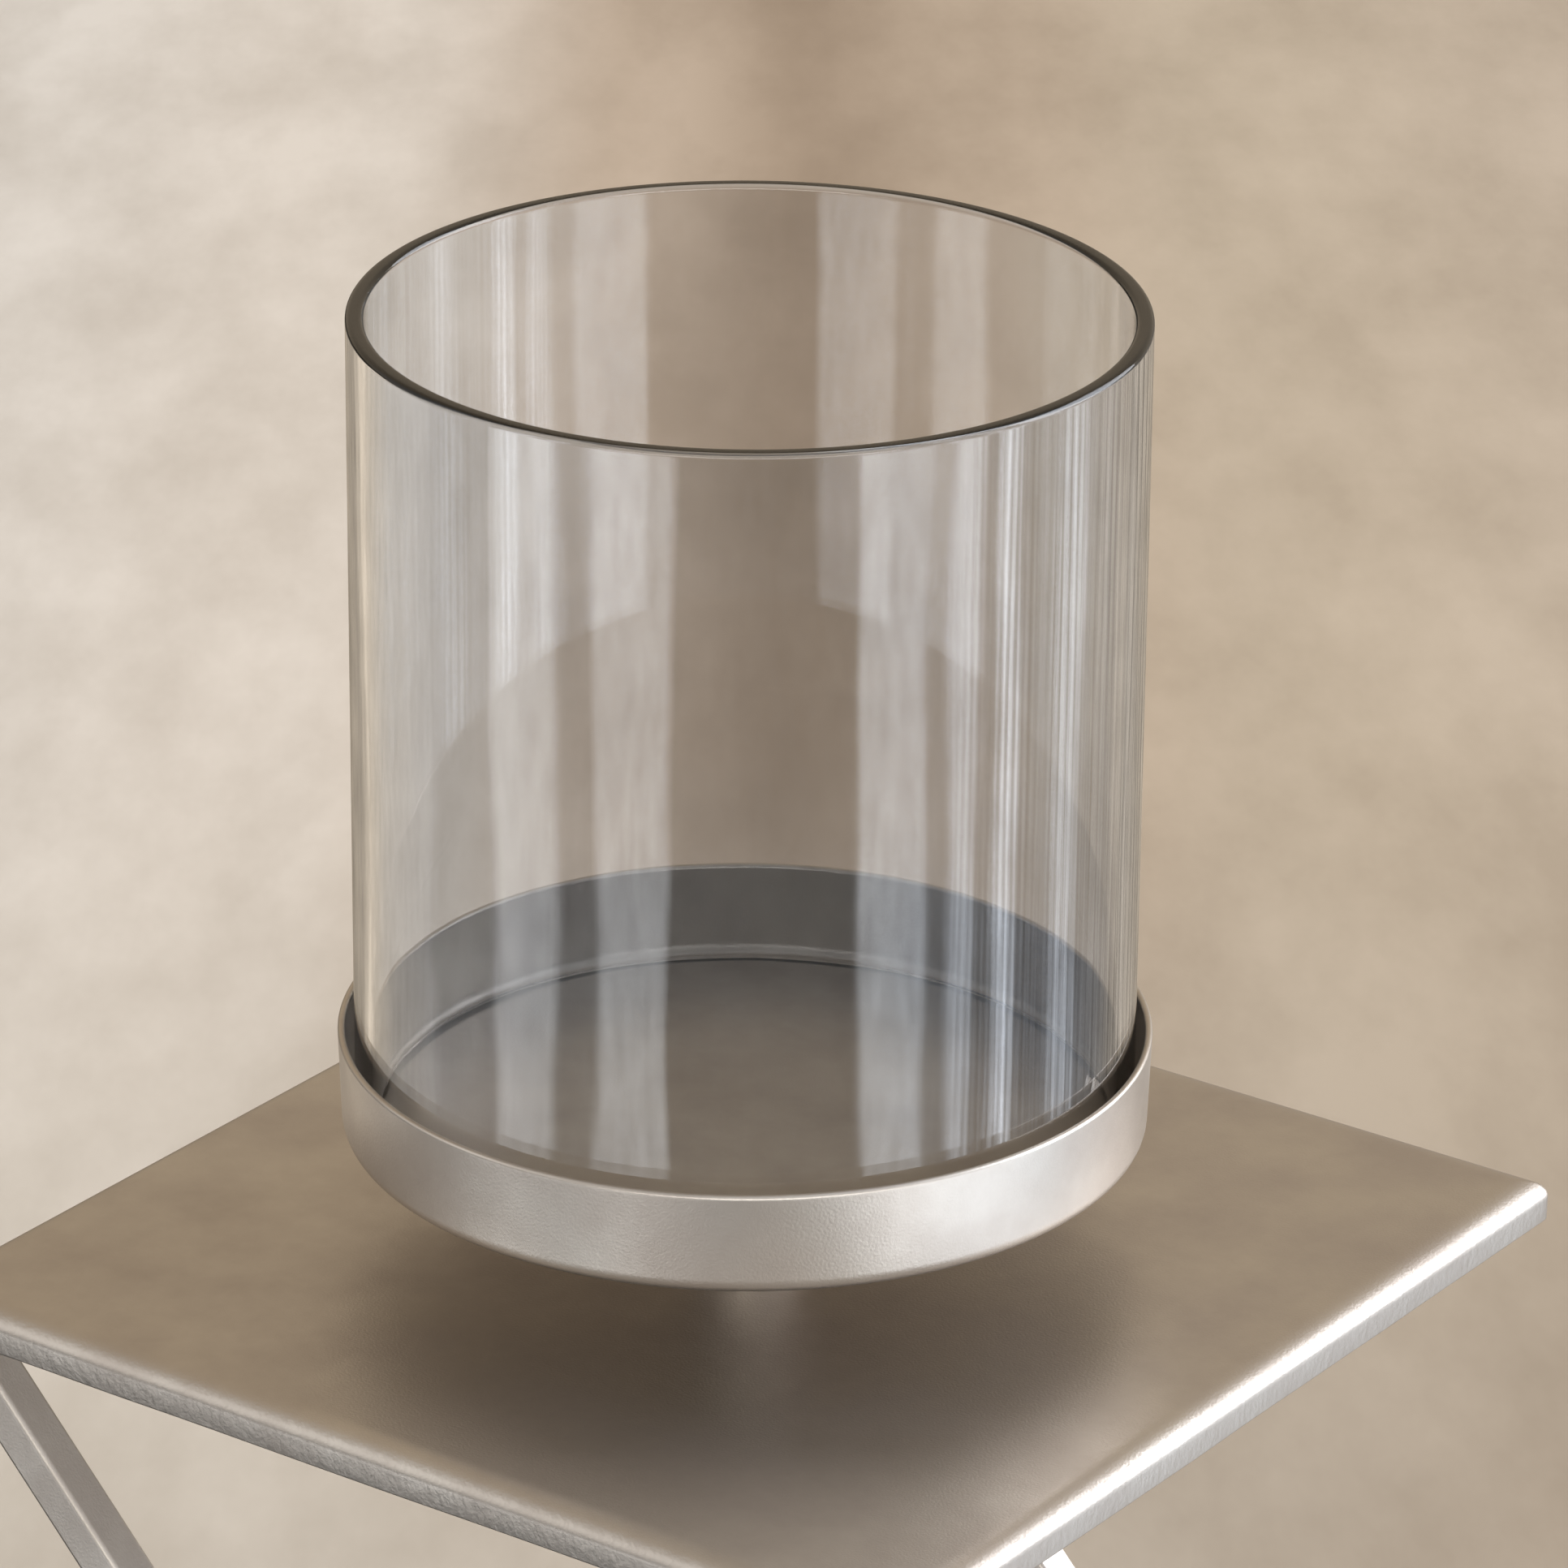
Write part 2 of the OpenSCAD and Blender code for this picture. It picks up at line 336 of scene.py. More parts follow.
# %% [markdown]
# ## A swept ring
# The glass wall is one closed profile, a tall rectangle with its four corners rounded by the flame,
# swept round a circle. Fillet Curve rounds the section and Curve to Mesh sweeps it. The section is
# centred on its own height, so the tree lifts the ring by half that height and its foot.

# %% Tree for a swept ring
def swept_ring_tree():
    """A rounded rectangle swept round a circle."""
    group, given, result = new_geometry_tree("swept ring", {
        "Middle radius": ("NodeSocketFloat", 0.1), "Wall": ("NodeSocketFloat", 0.004),
        "Height": ("NodeSocketFloat", 0.2), "Edge radius": ("NodeSocketFloat", 0.001),
        "Foot": ("NodeSocketFloat", 0.0), "Steps": ("NodeSocketInt", 256),
        "Finish": ("NodeSocketMaterial", None)})
    circle = add(group, "GeometryNodeCurvePrimitiveCircle",
                 {"Radius": given["Middle radius"], "Resolution": given["Steps"]})
    section = add(group, "GeometryNodeCurvePrimitiveQuadrilateral",
                  {"Width": given["Wall"], "Height": given["Height"]})
    eased = add(group, "GeometryNodeFilletCurve",
                {"Curve": section.outputs["Curve"], "Count": 6, "Radius": given["Edge radius"]},
                mode="POLY")
    swept = add(group, "GeometryNodeCurveToMesh",
                {"Curve": circle.outputs["Curve"], "Profile Curve": eased.outputs["Curve"]})
    half = add(group, "ShaderNodeMath", {0: given["Height"], 1: 0.5}, operation="MULTIPLY")
    middle = add(group, "ShaderNodeMath", {0: half.outputs[0], 1: given["Foot"]}, operation="ADD")
    up = add(group, "ShaderNodeCombineXYZ", {"Z": middle.outputs[0]})
    placed = add(group, "GeometryNodeTransform",
                 {"Geometry": swept.outputs["Mesh"], "Translation": up.outputs["Vector"]})
    plain = add(group, "GeometryNodeRealizeInstances", {"Geometry": placed.outputs["Geometry"]})
    dressed = add(group, "GeometryNodeSetMaterial",
                  {"Geometry": plain.outputs["Geometry"], "Material": given["Finish"]})
    group.links.new(dressed.outputs["Geometry"], result.inputs["Geometry"])
    return group


ring_tree = swept_ring_tree()
print("ring tree:", len(ring_tree.nodes), "nodes")

# %% [markdown]
# ## The glass cylinder
# The cylinder stands loose in the dish and lifts straight out. Its silhouette needs many steps round
# the circle to look smooth. Doubles are merged and faces turned outwards, because a ray of light has
# to know whether it enters the glass or leaves it. Two level cuts just clear of the rounded edges hold
# the tall walls flat when they are shaded smooth.

# %% Glass cylinder
GLASS_WALL = 4.6 * MM
GLASS_EDGE = 1.4 * MM
PAST_EDGE = GLASS_EDGE + 0.2 * MM
ROUND_STEPS = 256


def close_and_smooth(piece, cut_heights):
    """Merges doubles, cuts level bands that hold the walls flat, turns faces outwards, shades smooth."""
    shell = bmesh.new()
    shell.from_mesh(piece.data)
    bmesh.ops.remove_doubles(shell, verts=shell.verts, dist=1e-6)
    for height in cut_heights:
        everything = shell.verts[:] + shell.edges[:] + shell.faces[:]
        bmesh.ops.bisect_plane(shell, geom=everything, plane_co=(0, 0, height), plane_no=(0, 0, 1))
    bmesh.ops.recalc_face_normals(shell, faces=shell.faces)
    shell.to_mesh(piece.data)
    shell.free()
    piece.data.shade_smooth()


glass_radius = (GLASS_HIGH.x - GLASS_LOW.x) / 2
glass = grow_piece("glass_tube", ring_tree, {
    "Middle radius": glass_radius - GLASS_WALL / 2, "Wall": GLASS_WALL,
    "Height": GLASS_HIGH.z - GLASS_LOW.z, "Edge radius": GLASS_EDGE, "Foot": GLASS_LOW.z,
    "Steps": ROUND_STEPS, "Finish": glass_finish})
close_and_smooth(glass, (GLASS_LOW.z + PAST_EDGE, GLASS_HIGH.z - PAST_EDGE))
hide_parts("glass_cylinder")
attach(glass, "glass")
print("glass:", len(glass.data.polygons), "faces, box", [round(v, 4) for v in glass.dimensions])

# %% [markdown]
# ## Turned pieces
# A round pressed or turned piece is its half section, taken once round the axis. A point on the axis
# stays a single point, so that the middle closes in a fan of triangles and not in a tiny hole. One
# helper gives the points of an arc for the section, and one turns a section into a closed shell.

# %% Turning helpers
def arc(centre, radius, start, end, steps):
    """Points on an arc in the section plane, angles in degrees."""
    angles = [math.radians(start + (end - start) * i / steps) for i in range(steps + 1)]
    return [Vector((centre[0] + radius * math.cos(a), 0, centre[1] + radius * math.sin(a)))
            for a in angles]


def turned(name, profile, steps=ROUND_STEPS):
    """Turns a half section, given from the axis round to the axis, into a closed shell."""
    shell = bmesh.new()
    ring_sets = []
    for point in profile:
        if point.x < 1e-7:
            ring_sets.append([shell.verts.new(point)])
            continue
        ring_sets.append([
            shell.verts.new((point.x * math.cos(2 * math.pi * i / steps),
                             point.x * math.sin(2 * math.pi * i / steps), point.z))
            for i in range(steps)])
    for low, high in zip(ring_sets, ring_sets[1:]):
        for i in range(steps):
            j = (i + 1) % steps
            corners = [low[i % len(low)], low[j % len(low)], high[j % len(high)], high[i % len(high)]]
            unique = list(dict.fromkeys(corners))
            if len(unique) > 2:
                shell.faces.new(unique)
    bmesh.ops.recalc_face_normals(shell, faces=shell.faces)
    mesh = bpy.data.meshes.new(name)
    shell.to_mesh(mesh)
    shell.free()
    mesh.shade_smooth()
    return new_piece(name, mesh)


print("turning helpers ready,", ROUND_STEPS, "steps round")

# %% [markdown]
# ## The dish
# The dish is one sheet, pressed over a former: a flat floor, a small corner, and a wall that leans
# out a little so that the press can let go. Inside, the corner is broader, as the sheet flows there.
# The sheet's thickness shows at the rim, where the edge is rounded over. Points close to both ends of
# each flat stretch keep the smooth shading of the bends off the flats.

# %% Pressed dish
DISH_LOW, DISH_HIGH = (Vector(corner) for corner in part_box("dish"))
DISH_SHEET = 1.9 * MM
DISH_DRAFT = math.radians(2)
DISH_CORNER = 2.4 * MM
INSIDE_CORNER = 3.6 * MM
BEND_STEPS = 10


def dish_profile():
    """From the middle of the underside, round the rim, to the middle of the floor."""
    rim_z = DISH_HIGH.z - DISH_SHEET / 2
    outer_r = (DISH_HIGH.x - DISH_LOW.x) / 2
    wall_r = outer_r - DISH_SHEET
    draft = math.degrees(DISH_DRAFT)
    points = [Vector((0, 0, DISH_LOW.z))]
    for grow, turn in ((DISH_SHEET, 1), (0.0, -1)):
        r = DISH_CORNER + grow if grow else INSIDE_CORNER
        side_r = wall_r + grow / math.cos(DISH_DRAFT)
        corner_z = DISH_LOW.z + DISH_SHEET - grow + r
        corner_r = side_r - math.tan(DISH_DRAFT) * (rim_z - corner_z) - r / math.cos(DISH_DRAFT)
        bend = arc((corner_r, corner_z), r, -90, -draft, BEND_STEPS)
        level = Vector((corner_r - 0.3 * MM, 0, corner_z - r))
        wall = [bend[-1].lerp(Vector((side_r, 0, rim_z)), t) for t in (0.02, 0.98)]
        points += ([level] + bend + wall)[::turn]
        if grow:
            middle = (outer_r - DISH_SHEET / 2, rim_z)
            points += arc(middle, DISH_SHEET / 2, 0, 180, BEND_STEPS)
    return points + [Vector((0, 0, DISH_LOW.z + DISH_SHEET))]


dish = turned("pressed_dish", dish_profile())
paint(dish, nickel)
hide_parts("dish")
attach(dish, "stand")
print("dish:", len(dish.data.polygons), "faces")

# %% [markdown]
# ## Shape of the fold
# The top is one sheet with its four edges rolled down over a bar, so the flat starts to fall about
# 8 mm before the edge, and light gathers there in a broad soft streak. At a corner the two rolls meet
# in a short crease over a small round. The shape follows from two rules, a ring that runs round the
# square and a profile that says how far in and how far down each ring lies, so both are written as
# points.

# %% Fold
TOP_SHEET = 1.2 * MM
ROLL_IN, ROLL_DOWN = 8.5 * MM, 5.0 * MM
CORNER = 4.0 * MM
SMALLEST_CORNER = 0.6 * MM
ROLL_STEPS = 12


def square_ring(inset, half, side_steps=44, corner_steps=8):
    """Points round a square with small round corners, in order, as (x, y)."""
    radius = max(CORNER - inset, SMALLEST_CORNER)
    reach = half - inset - radius
    points = []
    for quarter in range(4):
        turn = Matrix.Rotation(math.radians(90 * quarter), 2)
        for step in range(side_steps):
            along = -reach + 2 * reach * step / side_steps
            points.append(turn @ Vector((half - inset, along)))
        for step in range(corner_steps):
            angle = math.radians(90 * step / corner_steps)
            bend = Vector((math.cos(angle), math.sin(angle))) * radius
            points.append(turn @ (Vector((reach, reach)) + bend))
    return points


def top_profile(depth):
    """(inset, drop) from the flat, over the roll, round the sheet's cut edge and back inside."""
    quarter = [math.radians(90 * step / ROLL_STEPS) for step in range(ROLL_STEPS + 1)]
    outside = [(ROLL_IN * (1 - math.sin(a)), ROLL_DOWN * (1 - math.cos(a))) for a in quarter]
    inside = [(TOP_SHEET + (ROLL_IN - TOP_SHEET) * (1 - math.sin(a)),
               TOP_SHEET + (ROLL_DOWN - TOP_SHEET) * (1 - math.cos(a))) for a in quarter]
    cut = [(0, depth - 0.5 * MM), (0.08 * MM, depth - 0.15 * MM), (0.3 * MM, depth), (0.9 * MM, depth),
           (1.12 * MM, depth - 0.15 * MM), (TOP_SHEET, depth - 0.5 * MM)]
    lead = [(ROLL_IN + 4 * MM, 0), (ROLL_IN + 1 * MM, 0)]
    back = [(ROLL_IN + 1 * MM, TOP_SHEET), (ROLL_IN + 4 * MM, TOP_SHEET)]
    return lead + outside + [(0, ROLL_DOWN + 0.4 * MM)] + cut + inside[::-1] + back


print("fold:", len(top_profile(TOP_HIGH.z - TOP_LOW.z)), "rings")

# %% [markdown]
# ## The folded top
# Hand folding leaves the lip a little wavy, in fractions of a millimetre, always inwards, so that the
# sheet stays inside its true size. A smooth noise with a fixed seed gives the wave. The rings are
# joined into one shell that runs over the top, round the sheet's cut edge and back underneath, and
# closes in the small hole for the screw.

# %% Folded top
from mathutils import noise

WAVES_PER_METRE = 25
WAVE_SEED = 7
WAVE_IN, WAVE_UP = 0.25 * MM, 0.5 * MM
WAVE_STARTS, WAVE_GROWS = 2 * MM, 5 * MM
SCREW_HOLE_RADIUS = 3.2 * MM


def folded_top():
    """The whole sheet as one closed shell."""
    half = (TOP_HIGH.x - TOP_LOW.x) / 2
    depth = TOP_HIGH.z - TOP_LOW.z
    shell = bmesh.new()
    rings = []
    for inset, drop in top_profile(depth):
        corners = []
        for x, y in square_ring(inset, half):
            wave = (1 + noise.noise(Vector((x * WAVES_PER_METRE, y * WAVES_PER_METRE, WAVE_SEED)))) / 2
            low = min(1, max(0, (drop - WAVE_STARTS) / WAVE_GROWS))
            squeeze = 1 - WAVE_IN * wave * low / half
            lift = WAVE_UP * wave * low if inset < 2 * MM else 0
            corners.append(shell.verts.new((x * squeeze, y * squeeze, TOP_HIGH.z - drop + lift)))
        rings.append(corners)
    for drop, where in ((0, 0), (TOP_SHEET, len(rings))):
        around = [Vector((v.co.x, v.co.y)).normalized() * SCREW_HOLE_RADIUS for v in rings[0]]
        hole = [shell.verts.new((p.x, p.y, TOP_HIGH.z - drop)) for p in around]
        rings.insert(where + (1 if where else 0), hole)
    rings.append(rings[0])
    for low, high in zip(rings, rings[1:]):
        for i, vertex in enumerate(low):
            j = (i + 1) % len(low)
            shell.faces.new((vertex, low[j], high[j], high[i]))
    bmesh.ops.recalc_face_normals(shell, faces=shell.faces)
    mesh = bpy.data.meshes.new("folded_top")
    shell.to_mesh(mesh)
    shell.free()
    mesh.shade_smooth()
    mesh.set_sharp_from_angle(angle=math.radians(60))
    return new_piece("folded_top", mesh)


top = folded_top()
paint(top, nickel_folded)
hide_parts("top_plate")
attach(top, "stand")
print("folded top:", len(top.data.polygons), "faces, mm", [round(1000 * d, 2) for d in top.dimensions])

# %% [markdown]
# ## Floor
# One wide plaster floor fills the view behind the lantern, so that no horizon cuts behind the
# glass. Its colour holds painted light and shade: paler to the left, a painted shade band right
# behind the lantern and a painted shadow towards the near right, under soft mottling. It also keeps
# the lantern's shadow. In mirror images the floor steps aside, as if the lantern stood on a high
# stand, so that metal and glass show the soft panels of the room below. From underneath it is clear,
# so the lower side can be seen too, and far out it fades into the plain room.

# %% Plaster finish
# Painted light and shade behind the lantern: paler to the left, with a painted shade band right behind
# it
PAINTED_LIGHT_ACROSS = [(0.0, "#dcd5cb"), (0.26, "#dcd2c5"), (0.42, "#bfac97"), (0.52, "#a5917b"), (0.64, "#b8a58f"),
        (0.76, "#c0b09a"), (1.0, "#bdad99")]     # from left to right behind the lantern
# Near the lantern the floor is painted lighter on the left and has a painted shadow towards the right
NEAR_PAINTED_LIGHT, NEAR_PAINTED_SHADOW = "#d9d1c4", "#a08f7a"
MOTTLE = "#e9e7e4"
PAINTED_LIGHT_REACH = 0.4                                 # metres to each side
FAR_STARTS, FAR_ENDS = 0.5, 1.1                  # metres behind the lantern
FADE_STARTS, FADE_ENDS = 3.5, 13.0               # metres from it, all round


def plaster_with_painted_light(tree, place):
    """The colour of the floor: painted light and shade from left to right, near and far, and soft
    mottling.
    """
    turned_place = add(tree, "ShaderNodeMapping", {"Vector": place, "Rotation": (0, 0, -CAMERA_AZIMUTH)})
    xyz = add(tree, "ShaderNodeSeparateXYZ", {"Vector": turned_place.outputs["Vector"]})
    across = add(tree, "ShaderNodeMapRange",
                 {"Value": xyz.outputs["X"], "From Min": -PAINTED_LIGHT_REACH, "From Max": PAINTED_LIGHT_REACH})
    # painted light to the left and a painted shade band behind the lantern
    painted_light_across = add(tree, "ShaderNodeValToRGB", {"Fac": across.outputs["Result"]})
    line = painted_light_across.color_ramp
    line.interpolation = "EASE"
    for position, _ in PAINTED_LIGHT_ACROSS[1:-1]:
        line.elements.new(position)
    for element, (_, colour) in zip(line.elements, PAINTED_LIGHT_ACROSS):
        element.color = linear(colour)
    # painted shadow towards the near right
    near_light_and_shadow = add(tree, "ShaderNodeMix", {
        "Factor": across.outputs["Result"], "A": linear(NEAR_PAINTED_LIGHT), "B": linear(NEAR_PAINTED_SHADOW)},
        data_type="RGBA")
    far = add(tree, "ShaderNodeMapRange",
              {"Value": xyz.outputs["Y"], "From Min": FAR_STARTS, "From Max": FAR_ENDS})
    # painted light and shade, near and far, before the mottling
    painted_light_and_shade = add(tree, "ShaderNodeMix", {
        "Factor": far.outputs["Result"], "A": near_light_and_shadow.outputs["Result"], "B": painted_light_across.outputs["Color"]},
        data_type="RGBA")
    squared = add(tree, "ShaderNodeMapping",
                  {"Vector": turned_place.outputs["Vector"], "Scale": (1.2, 0.5, 1.0)})
    blotches = add(tree, "ShaderNodeTexNoise",
                   {"Vector": squared.outputs["Vector"], "Scale": 9.0, "Detail": 5.0, "Roughness": 0.62})
    patches = add(tree, "ShaderNodeMapRange",
                  {"Value": blotches.outputs["Fac"], "From Min": 0.35, "From Max": 0.65})
    return add(tree, "ShaderNodeMix", {
        "Factor": patches.outputs["Result"], "A": painted_light_and_shade.outputs["Result"], "B": linear(MOTTLE)},
        data_type="RGBA", blend_type="MULTIPLY").outputs["Result"]


def floor_steps_aside(tree, place):
    """1 in mirror images, from below and far out, where the floor is clear, else 0."""
    path = add(tree, "ShaderNodeLightPath").outputs
    mirrored = add(tree, "ShaderNodeMath", {0: path["Glossy Depth"], 1: 0.5}, operation="GREATER_THAN")
    underside = add(tree, "ShaderNodeNewGeometry").outputs["Backfacing"]
    reach = add(tree, "ShaderNodeVectorMath", {0: place}, operation="LENGTH")
    fade = add(tree, "ShaderNodeMapRange", {
        "Value": reach.outputs["Value"], "From Min": FADE_STARTS, "From Max": FADE_ENDS},
        interpolation_type="SMOOTHSTEP")
    unseen = add(tree, "ShaderNodeMath", {0: mirrored.outputs[0], 1: underside}, operation="MAXIMUM")
    return add(tree, "ShaderNodeMath", {0: unseen.outputs[0], 1: fade.outputs["Result"]},
               operation="MAXIMUM").outputs[0]


def plaster_floor():
    """Matt plaster that gives way to a clear surface where the floor steps aside."""
    material, tree, output = new_material("pale_plaster_floor")
    place = add(tree, "ShaderNodeTexCoord").outputs["Object"]
    skin = add(tree, "ShaderNodeBsdfPrincipled",
               {"Base Color": plaster_with_painted_light(tree, place), "Roughness": 0.95})
    clear = add(tree, "ShaderNodeBsdfTransparent")
    surface = add(tree, "ShaderNodeMixShader",
                  {0: floor_steps_aside(tree, place), 1: skin.outputs["BSDF"], 2: clear.outputs[0]})
    tree.links.new(surface.outputs[0], output.inputs["Surface"])
    return material


plaster = plaster_floor()
print("floor finish:", plaster.name)

# %% [markdown]
# ## The floor itself
# A single round face is enough, because the floor is flat and all its interest is in the finish. It
# lies at the height of the foot pads, faces up, and reaches well past the fade, so that its own edge
# never shows. It belongs to the stage and not to the lantern.

# %% Floor
FLOOR_RADIUS = 14.0


def wide_floor():
    """A round floor at foot level, facing up."""
    shell = bmesh.new()
    bmesh.ops.create_circle(shell, cap_ends=True, segments=96, radius=FLOOR_RADIUS)
    for face in shell.faces:
        if face.normal.z < 0:
            face.normal_flip()
    mesh = bpy.data.meshes.new("floor")
    shell.to_mesh(mesh)
    shell.free()
    return new_piece("floor", mesh)


floor = wide_floor()
paint(floor, plaster)
print("floor in place, radius", round(floor.dimensions.x / 2, 1), "m")

# %% [markdown]
# ## Light
# Soft daylight from a wide window on the right and a dimmer one on the left. Like the lamps of a real
# studio they stay out of view, seen straight or through the glass, and only light the lantern and
# show in its shine. Angles are degrees round the lantern from the camera's side, to the right.

# %% Lamps
LOOK_AT = 0.3            # metres above the floor, near the height of the top


def lamp(name, azimuth, distance, height, size, power, colour="#ffffff"):
    """A wide area lamp, not seen straight or through glass; 0 is the camera's side, 90 its right."""
    turn = CAMERA_AZIMUTH + math.radians(azimuth)
    place = Vector((distance * math.sin(turn), -distance * math.cos(turn), height))
    towards = Vector((0, 0, LOOK_AT)) - place
    data = bpy.data.lights.new(name, "AREA")
    data.shape = "RECTANGLE"
    data.size, data.size_y = size
    data.energy = power
    data.color = linear(colour)[:3]
    light = bpy.data.objects.new(name, data)
    scene.collection.objects.link(light)
    aim = towards.to_track_quat("-Z", "Y").to_matrix().to_4x4()
    light.matrix_world = Matrix.Translation(place) @ aim
    light.visible_camera = False
    light.visible_transmission = False
    return light


lamp("window_right", 108, 3.0, 1.57, (3.0, 2.6), 60, "#e9f0ff")
lamp("window_left", -85, 3.0, 2.03, (2.0, 2.5), 10)

# %% [markdown]
# ## Tones round the room
# Satin metal and glass show their surroundings, so the plain room's lower half is hung with soft
# upright panels: each one draws an upright band on the cylinder, and the gap between them behind the
# camera keeps the middle of the glass clear. The tables give what stands in each direction, in
# degrees from the camera's side. A panel is an angle from, an angle to, its brightness and that of
# the gaps beside it. Two windows are light in the upper room and not lamps: a low one behind the
# camera, which lights the stem, and a tall one on the right.

# %% Room tables
PANELS = [(-150, -102, 1.2, 0.6), (-78, -58, 3.0, 0.6), (-45, -21, 3.0, 0.8), (33, 53, 3.6, 1.2),
          (62, 70, 3.6, 0.9), (77, 84, 4.4, 1.0), (101, 112, 2.2, 0.7)]
CAMERA_GAP = (-21, 33)
BEHIND_CAMERA = 0.3
BEHIND_LANTERN = 0.6
PANEL_FOOT, PANEL_TOP = -0.48, -0.29     # heights on the sphere of directions
LOW_ROOM = [(-180, 0.3), (-110, 0.05), (-60, 0.15), (-20, 0.5), (0, 0.5), (50, 1.9), (75, 2.1),
            (105, 1.3), (130, 1.2), (180, 0.3)]
UPPER_ROOM = [(-180, "#c2b19a"), (-135, "#c2b19a"), (-110, "#cfcbc7"), (-30, "#dedcda"),
              (30, "#f2f2f2"), (60, "#f6f9ff"), (110, "#f6f9ff"), (135, "#c8bba8"), (180, "#c2b19a")]
FRONT_WINDOW = [(-180, 0), (-34, 0), (-28, 5.5), (38, 5.5), (44, 0), (180, 0)]
RIGHT_WINDOW = [(-180, 0), (78, 0), (84, 3.0), (130, 3.0), (136, 0), (180, 0)]
WINDOWS = [(FRONT_WINDOW, 0.0, 0.2), (RIGHT_WINDOW, 0.04, 0.62)]
CLOTH_TONES = [(-180, "#e0cfb8"), (-140, "#e3d5c2"), (-100, "#f0f1f3"), (30, "#eef2f6"),
               (60, "#e6eef9"), (112, "#e6eef9"), (135, "#e9dfd2"), (180, "#e0cfb8")]
PLAIN_ROOM = "#c9bdad"


def panel_stops():
    """Ramp stops (degrees, brightness), with edges 2 degrees soft."""
    stops = [(-180, BEHIND_LANTERN)]
    for start, end, bright, low in PANELS:
        before = BEHIND_CAMERA if start == CAMERA_GAP[1] else low
        after = BEHIND_CAMERA if end == CAMERA_GAP[0] else low
        stops += [(start - 1, before), (start + 1, bright), (end - 1, bright), (end + 1, after)]
    return stops + [(180, BEHIND_LANTERN)]


print("panels:", len(PANELS), "ramp stops:", len(panel_stops()))

# %% [markdown]
# ## Helpers for the room
# The world shader knows only the direction of a ray. A ramp over the angle round the room turns a
# table into brightness or colour, and two smooth steps over the height cut a band out of it. The last
# helper tells rays that look straight at the room from rays that see it in metal or glass: the first
# get a plain wall, so that no panel stands behind the lantern.

# %% Room helpers
def round_the_room(tree, place, stops):
    """A ramp that gives a brightness or a colour for each direction, from -180 to 180 degrees."""
    ramp = add(tree, "ShaderNodeValToRGB", {"Fac": place})
    line = ramp.color_ramp
    line.elements[0].position, line.elements[1].position = 0.0, 1.0
    for angle, _ in stops[1:-1]:
        line.elements.new(angle / 360 + 0.5)
    for element, (_, value) in zip(line.elements, stops):
        element.color = linear(value) if isinstance(value, str) else (value, value, value, 1)
    return ramp.outputs["Color"]


def band(tree, height, low, high, soft=0.04):
    """1 between two heights on the sphere of directions, 0 outside them."""
    sides = []
    for edge, way in ((low, 1), (high, -1)):
        side = add(tree, "ShaderNodeMapRange", {
            "Value": height, "From Min": edge - soft / 2 * way, "From Max": edge + soft / 2 * way},
            interpolation_type="SMOOTHSTEP")
        sides.append(side.outputs["Result"])
    return add(tree, "ShaderNodeMath", {0: sides[0], 1: sides[1]}, operation="MULTIPLY").outputs[0]


def seen_straight(tree):
    """1 for a ray from the camera that has met nothing, or only gone through glass, else 0."""
    path = add(tree, "ShaderNodeLightPath").outputs
    bounces = add(tree, "ShaderNodeMath", {0: path["Glossy Depth"], 1: path["Diffuse Depth"]},
                  operation="ADD")
    unmirrored = add(tree, "ShaderNodeMath", {0: bounces.outputs[0], 1: 0.5}, operation="LESS_THAN")
    through = add(tree, "ShaderNodeMath", {0: path["Is Transmission Ray"], 1: unmirrored.outputs[0]},
                  operation="MULTIPLY")
    return add(tree, "ShaderNodeMath", {0: path["Is Camera Ray"], 1: through.outputs[0]},
               operation="MAXIMUM").outputs[0]


print("room helpers ready")

# %% [markdown]
# ## Hanging cloth
# The panels hang like cloth. A little noise sways their edges, a finer one gives them folds, and on
# the right they are gathered into narrow pleats. All three read one flat map of the directions, with
# the angle round the room across and the height up, stretched so that the folds run upright.

# %% Cloth
SWAY = 0.04              # share of a full turn that an edge may move
FOLDS = (0.5, 1.5)
PLEATS = (0.4, 1.6)
GATHER_STARTS, GATHERED = math.radians(55), math.radians(80)


def swayed_place(tree, angle, cloth):
    """The place on a ramp for an angle, from 0 to 1, moved a little to and fro."""
    sway = add(tree, "ShaderNodeTexNoise", {"Vector": cloth, "Scale": 1.0, "Detail": 2.0})
    push = add(tree, "ShaderNodeMath", {0: sway.outputs["Fac"], 1: 0.5}, operation="SUBTRACT")
    turn = add(tree, "ShaderNodeMath", {0: push.outputs[0], 1: SWAY, 2: 0.5}, operation="MULTIPLY_ADD")
    return add(tree, "ShaderNodeMath", {0: angle, 1: 1 / (2 * math.pi), 2: turn.outputs[0]},
               operation="MULTIPLY_ADD").outputs[0]


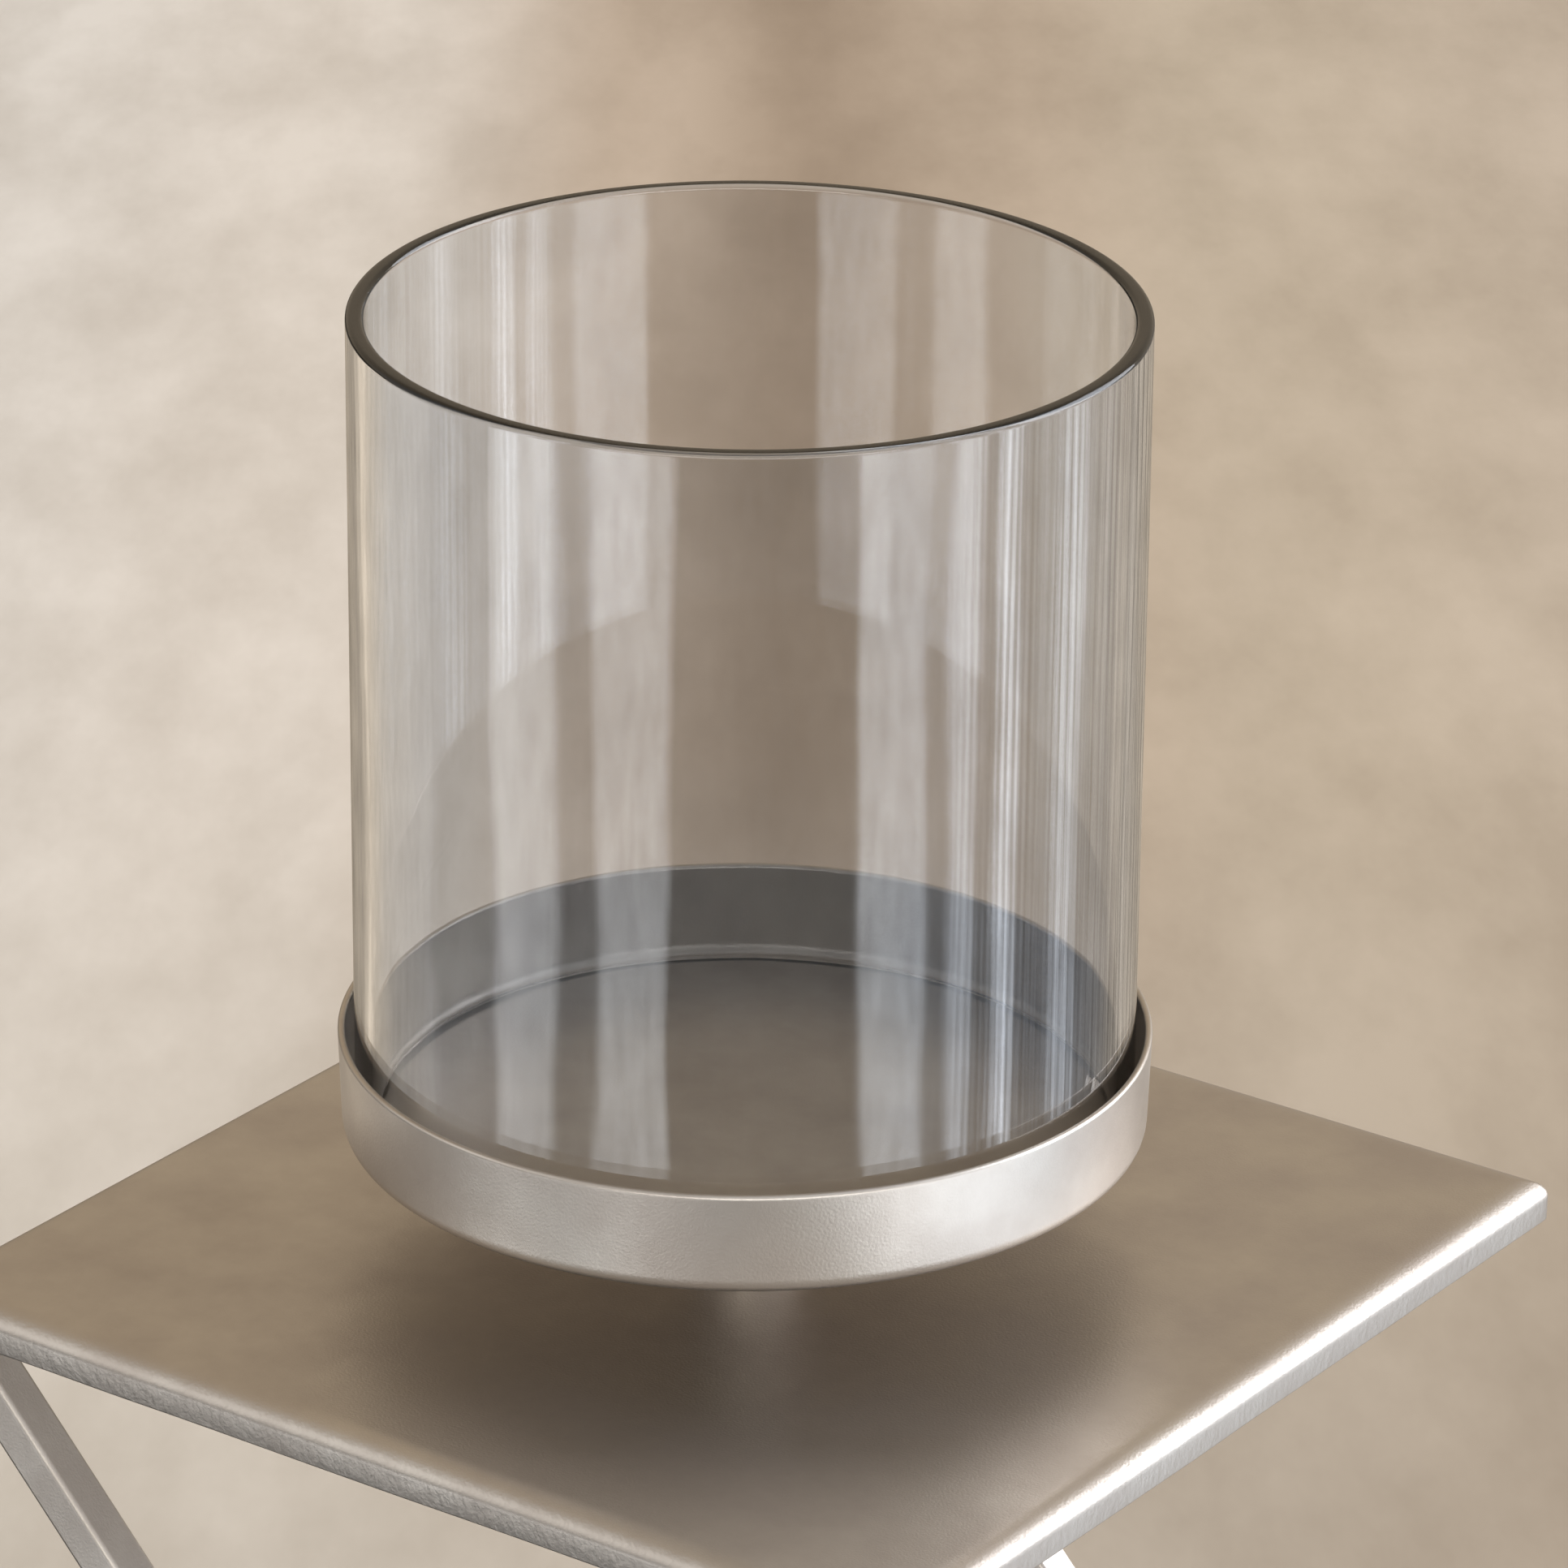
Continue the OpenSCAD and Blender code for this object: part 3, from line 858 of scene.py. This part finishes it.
def cloth_folds(tree, angle, spot, cloth):
    """The brightness that folds give the cloth, near 1, with narrow pleats on the right."""
    folds = add(tree, "ShaderNodeTexNoise", {"Vector": cloth, "Scale": 9.0, "Detail": 3.0})
    fold = add(tree, "ShaderNodeMapRange",
               {"Value": folds.outputs["Fac"], "To Min": FOLDS[0], "To Max": FOLDS[1]})
    narrow = add(tree, "ShaderNodeMapping", {"Vector": spot, "Scale": (40.0, 12.0, 1.0)})
    pleats = add(tree, "ShaderNodeTexNoise",
                 {"Vector": narrow.outputs["Vector"], "Scale": 1.0, "Detail": 2.0})
    pleat = add(tree, "ShaderNodeMapRange", {
        "Value": pleats.outputs["Fac"], "From Min": 0.35, "From Max": 0.65,
        "To Min": PLEATS[0], "To Max": PLEATS[1]})
    gathered = add(tree, "ShaderNodeMapRange",
                   {"Value": angle, "From Min": GATHER_STARTS, "From Max": GATHERED})
    pleated = add(tree, "ShaderNodeMix",
                  {"Factor": gathered.outputs["Result"], "A": 1.0, "B": pleat.outputs["Result"]})
    return add(tree, "ShaderNodeMath", {0: fold.outputs["Result"], 1: pleated.outputs["Result"]},
               operation="MULTIPLY").outputs[0]


print("cloth: folds", FOLDS, "pleats", PLEATS)

# %% [markdown]
# ## The room
# The world is built from the tables. Above eye level it is a plain bright room with its windows, and
# below it is the band of panels over a dimmer part. The lamps and this room light the lantern
# together, at a plain level, and a ray that looks straight at the room gets one plain tone.

# %% Room
DIM_SHARE, DIM_LEAST = 0.26, 0.5         # how much of the cloth shows in the lowest part
EYE_LEVEL = (0.02, -0.12)


def lower_room(tree, place, height, folds):
    """The band of hung panels, over a dimmer part that echoes it."""
    tones = round_the_room(tree, place, CLOTH_TONES)
    striped = round_the_room(tree, place, panel_stops())
    even = round_the_room(tree, place, LOW_ROOM)
    hung = add(tree, "ShaderNodeMath", {0: striped, 1: folds}, operation="MULTIPLY")
    cloths = add(tree, "ShaderNodeBackground", {"Color": tones, "Strength": hung.outputs[0]})
    faint = add(tree, "ShaderNodeMath", {0: hung.outputs[0], 1: DIM_SHARE, 2: DIM_LEAST},
                operation="MULTIPLY_ADD")
    dim = add(tree, "ShaderNodeMath", {0: even, 1: faint.outputs[0]}, operation="MULTIPLY")
    low_room = add(tree, "ShaderNodeBackground", {"Color": tones, "Strength": dim.outputs[0]})
    return add(tree, "ShaderNodeMixShader", {
        0: band(tree, height, PANEL_FOOT, PANEL_TOP), 1: low_room.outputs[0], 2: cloths.outputs[0]})


def upper_room(tree, place, height):
    """The plain room above eye level, with its windows added."""
    bright = 1.0
    for stops, low, high in WINDOWS:
        pane = add(tree, "ShaderNodeMath", {
            0: round_the_room(tree, place, stops), 1: band(tree, height, low, high), 2: bright},
            operation="MULTIPLY_ADD")
        bright = pane.outputs[0]
    tones = round_the_room(tree, place, UPPER_ROOM)
    return add(tree, "ShaderNodeBackground", {"Color": tones, "Strength": bright})


def room_world():
    """The whole surroundings of the lantern."""
    world = bpy.data.worlds.new("room")
    world.use_nodes = True
    tree = world.node_tree
    tree.nodes.clear()
    way = add(tree, "ShaderNodeTexCoord").outputs["Generated"]
    turned_way = add(tree, "ShaderNodeMapping",
                     {"Vector": way, "Rotation": (0, 0, math.pi / 2 - CAMERA_AZIMUTH)})
    xyz = add(tree, "ShaderNodeSeparateXYZ", {"Vector": turned_way.outputs["Vector"]}).outputs
    angle = add(tree, "ShaderNodeMath", {0: xyz["Y"], 1: xyz["X"]}, operation="ARCTAN2").outputs[0]
    spot = add(tree, "ShaderNodeCombineXYZ", {"X": angle, "Y": xyz["Z"]}).outputs["Vector"]
    cloth = add(tree, "ShaderNodeMapping", {"Vector": spot, "Scale": (2.0, 14.0, 1.0)}).outputs["Vector"]
    place = swayed_place(tree, angle, cloth)
    lower = lower_room(tree, place, xyz["Z"], cloth_folds(tree, angle, spot, cloth))
    upper = upper_room(tree, place, xyz["Z"])
    below = add(tree, "ShaderNodeMapRange",
                {"Value": xyz["Z"], "From Min": EYE_LEVEL[0], "From Max": EYE_LEVEL[1]})
    mixed = add(tree, "ShaderNodeMixShader",
                {0: below.outputs["Result"], 1: upper.outputs[0], 2: lower.outputs[0]})
    plain = add(tree, "ShaderNodeBackground", {"Color": linear(PLAIN_ROOM), "Strength": 1.0})
    seen = add(tree, "ShaderNodeMixShader",
               {0: seen_straight(tree), 1: mixed.outputs[0], 2: plain.outputs[0]})
    output = add(tree, "ShaderNodeOutputWorld")
    tree.links.new(seen.outputs[0], output.inputs["Surface"])
    return world


scene.world = room_world()
print("room nodes:", len(scene.world.node_tree.nodes))

# %% [markdown]
# ## Finish
# The dressed lantern has to stay the size of the construction.

# %% Finish
print("scene built")
